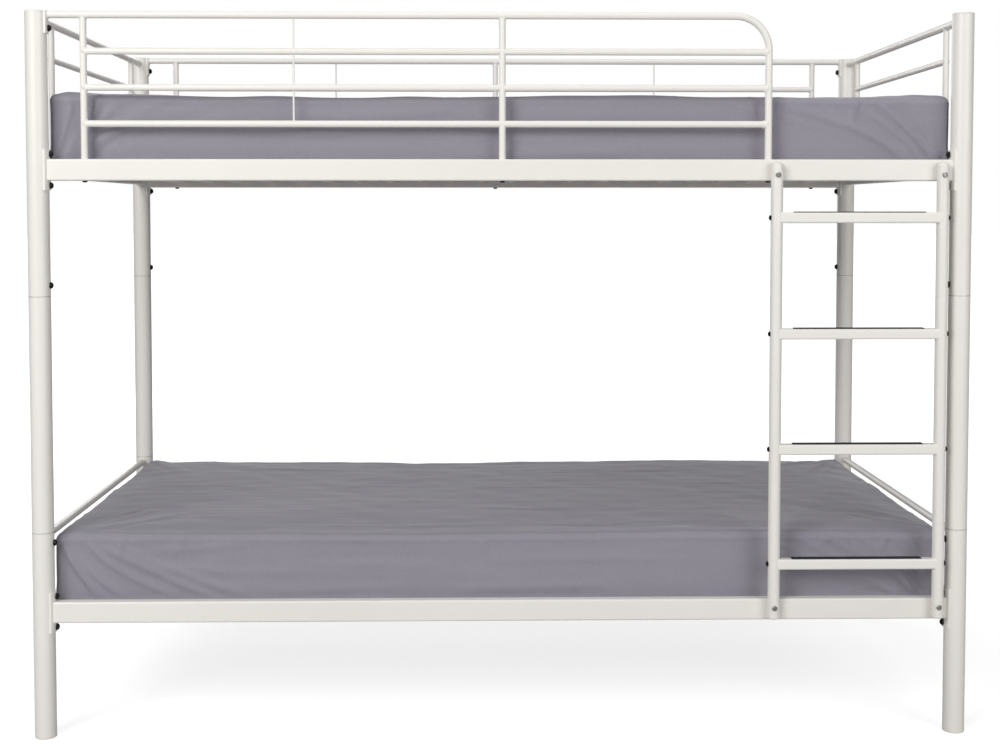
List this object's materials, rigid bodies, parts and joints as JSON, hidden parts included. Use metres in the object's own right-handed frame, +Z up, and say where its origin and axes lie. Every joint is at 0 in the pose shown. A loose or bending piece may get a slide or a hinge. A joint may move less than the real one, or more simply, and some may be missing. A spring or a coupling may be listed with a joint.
{
  "type": "bunk bed",
  "caption": "Steel tube bunk bed with two single mattresses, guard rails round the upper bunk and an upright bolted ladder at the front.",
  "frame": {"origin": "on the floor, under the middle of the box that encloses the bed with its ladder", "axes": "+X along the bed towards the ladder end, +Y from the ladder side to the wall side, +Z up"},
  "size_m": [1.977, 1.0004, 1.525],
  "materials": {
    "white_powder_coat": "satin powder coat on steel tube",
    "white_plastic": "moulded, fine satin",
    "black_steel": "black zinc button-head bolts",
    "zinc_steel": "bright zinc plate",
    "plain_steel": "plain drawn tube, hidden",
    "black_rubber": "ribbed anti-slip strip",
    "sheet_cotton": "grey fitted sheet over a foam mattress"
  },
  "bodies": {
    "bed_frame": {"back_guard_rails": "white_powder_coat", "back_guard_thin_rods": "white_powder_coat", "back_guard_top_tube": "white_powder_coat", "back_guard_uprights": "white_powder_coat", "back_left_post_lower": "white_powder_coat", "back_left_post_middle": "white_powder_coat", "back_left_post_upper": "white_powder_coat", "back_right_post_lower": "white_powder_coat", "back_right_post_middle": "white_powder_coat", "back_right_post_upper": "white_powder_coat", "coupler_bolts": "black_steel", "front_guard_rails": "white_powder_coat", "front_guard_thin_rods": "white_powder_coat", "front_guard_top_tube": "white_powder_coat", "front_guard_uprights": "white_powder_coat", "front_left_post_lower": "white_powder_coat", "front_left_post_middle": "white_powder_coat", "front_left_post_upper": "white_powder_coat", "front_right_post_lower": "white_powder_coat", "front_right_post_middle": "white_powder_coat", "front_right_post_upper": "white_powder_coat", "guard_bracket_bolts": "black_steel", "guard_brackets": "white_powder_coat", "guard_upright_bolts": "black_steel", "guard_upright_inserts": "plain_steel", "ladder_bolts": "zinc_steel", "ladder_end_caps": "white_plastic", "ladder_left_side": "white_powder_coat", "ladder_right_side": "white_powder_coat", "ladder_rungs": "white_powder_coat", "left_lower_cross_rail": "white_powder_coat", "left_lower_end_rail": "white_powder_coat", "left_upper_cross_rail": "white_powder_coat", "left_upper_end_bar": "white_powder_coat", "left_upper_end_rail": "white_powder_coat", "left_upper_end_uprights": "white_powder_coat", "lower_back_side_rail": "white_powder_coat", "lower_front_side_rail": "white_powder_coat", "lower_rail_brackets": "white_powder_coat", "lower_slats": "white_powder_coat", "post_caps": "white_plastic", "post_couplers": "plain_steel", "post_feet": "white_plastic", "rail_bolts": "black_steel", "right_lower_cross_rail": "white_powder_coat", "right_lower_end_rail": "white_powder_coat", "right_upper_cross_rail": "white_powder_coat", "right_upper_end_bar": "white_powder_coat", "right_upper_end_rail": "white_powder_coat", "right_upper_end_uprights": "white_powder_coat", "rung_bolts": "black_steel", "rung_treads": "black_rubber", "upper_back_side_rail": "white_powder_coat", "upper_front_side_rail": "white_powder_coat", "upper_rail_brackets": "white_powder_coat", "upper_slats": "white_powder_coat"},
    "upper_bedding": {"upper_mattress": "sheet_cotton"},
    "lower_bedding": {"lower_mattress": "sheet_cotton"}
  },
  "joints": [
    {"name": "upper_mattress_lift", "type": "slide", "parent": "bed_frame", "child": "upper_bedding", "axis": [0, 0, 1], "range_m": [0, 0.36]},
    {"name": "lower_mattress_lift", "type": "slide", "parent": "bed_frame", "child": "lower_bedding", "axis": [0, 0, 1], "range_m": [0, 0.25]}
  ]
}
